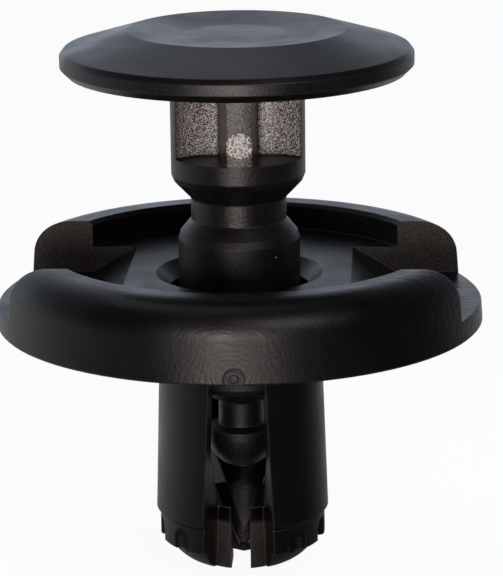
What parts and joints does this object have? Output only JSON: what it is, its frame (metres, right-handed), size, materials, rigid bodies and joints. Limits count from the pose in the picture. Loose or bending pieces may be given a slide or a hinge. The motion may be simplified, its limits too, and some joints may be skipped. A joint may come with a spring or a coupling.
{
  "type": "plastic push rivet",
  "caption": "Plastic push rivet with a lipped flange, a slotted barrel of spring legs and a dished push pin that spreads them in a panel hole.",
  "frame": {"origin": "on the axis of the pin, in the face of the flange that rests on the panel", "axes": "+Z along the axis, out of the panel towards the pin's head; -Y towards the gate mark and the front slot; +X towards one of the two pry gaps"},
  "size_m": [0.02, 0.02, 0.0225],
  "materials": {
    "body_plastic": "black moulded nylon, satin and smooth on the lips, finely grained on the legs",
    "pin_plastic": "black moulded nylon, satin on the head, finely grained on the shank"
  },
  "bodies": {
    "body": {"body": "body_plastic"},
    "pin": {"pin": "pin_plastic"}
  },
  "joints": [
    {"name": "pin_push", "type": "slide", "parent": "body", "child": "pin", "axis": [0, 0, -1], "range_m": [0, 0.0084], "deforming": ["body"]}
  ]
}
